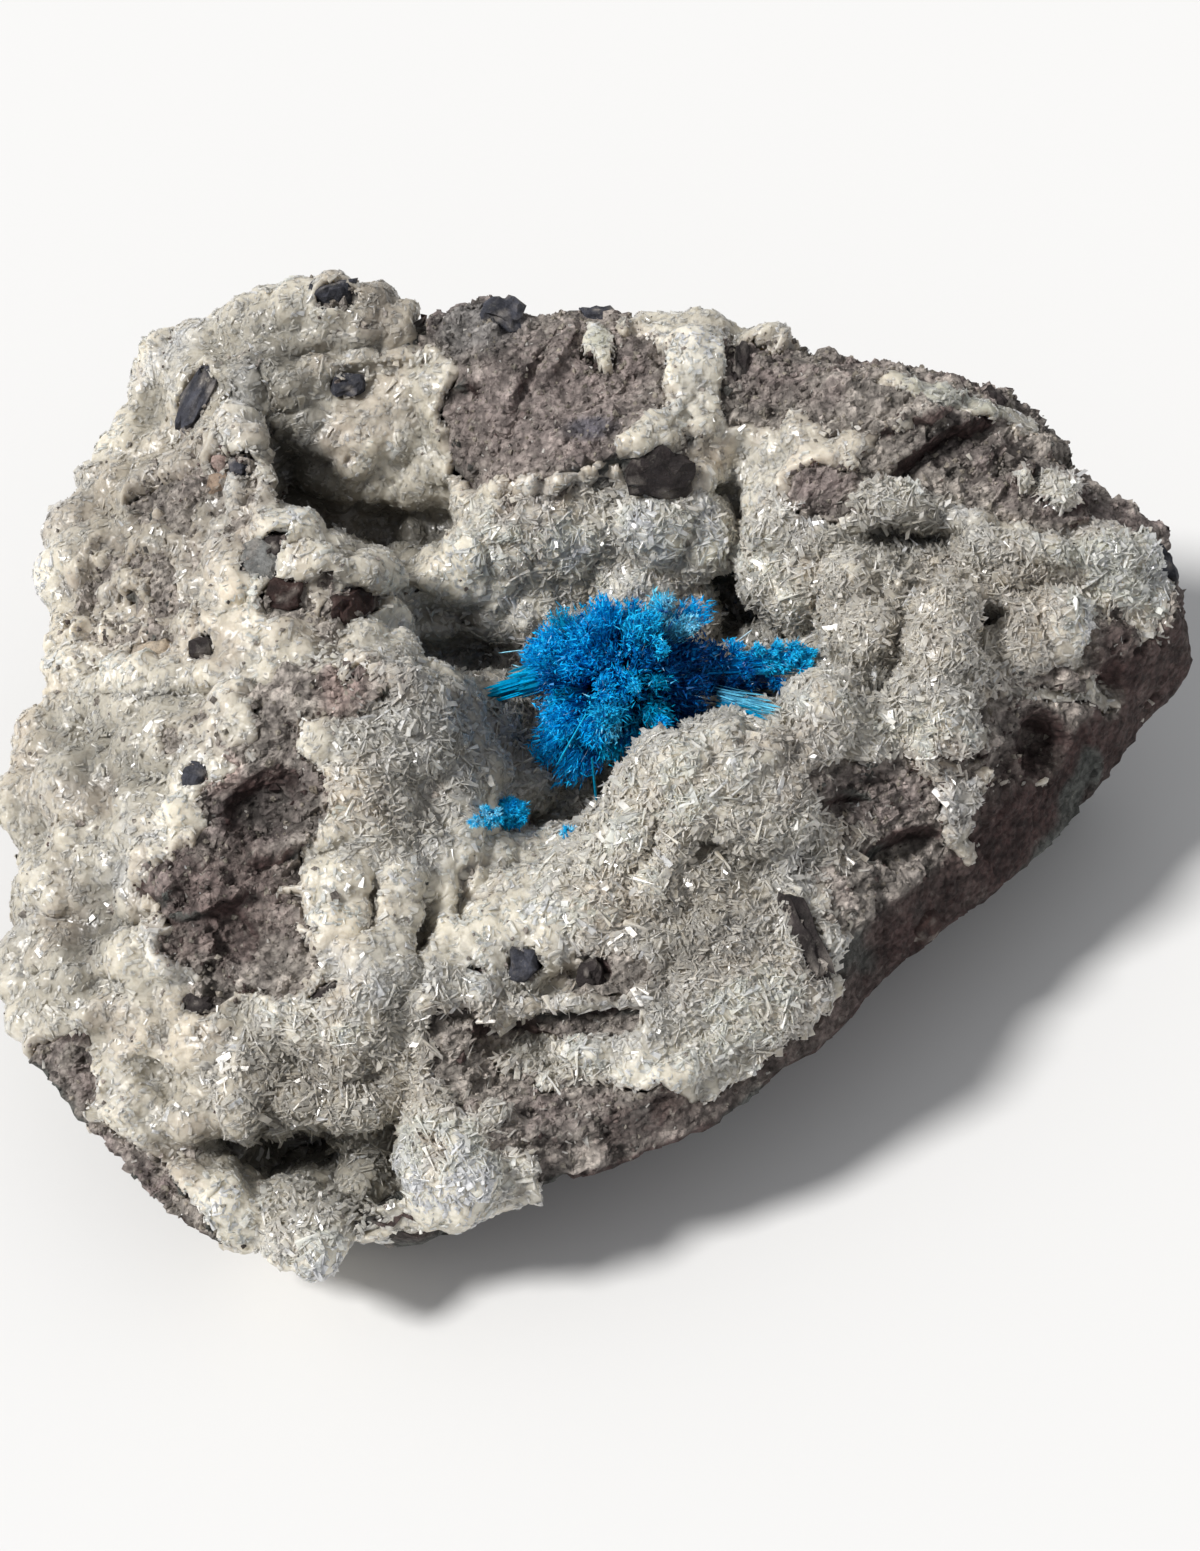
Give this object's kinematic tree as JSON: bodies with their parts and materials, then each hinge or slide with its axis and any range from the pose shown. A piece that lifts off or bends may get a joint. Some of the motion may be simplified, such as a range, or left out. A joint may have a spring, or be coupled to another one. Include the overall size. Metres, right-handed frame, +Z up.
{
  "type": "cavansite mineral specimen",
  "caption": "Lump of purple-brown basalt coated with pale stilbite crystals, with a spiky blue cavansite rosette in a hollow, resting on a flat base.",
  "frame": {"origin": "centre of the bounding box at the level of the flat base", "axes": "+X to the right along the long side, +Y to the high back rim, +Z up out of the druse"},
  "size_m": [0.0806, 0.0672, 0.0316],
  "materials": {
    "basalt": "rough, matt, broken surface",
    "stilbite": "pearly translucent crystals, glinting",
    "cavansite": "glassy bladed crystals, deep blue",
    "cavansite_pale": "glassy bladed crystals, paler blue"
  },
  "bodies": {
    "root": {"basalt_matrix": "basalt", "stilbite_crust": "stilbite", "cavansite_cluster": "cavansite", "cavansite_small_rosette": "cavansite", "cavansite_tuft": "cavansite_pale"}
  },
  "joints": []
}
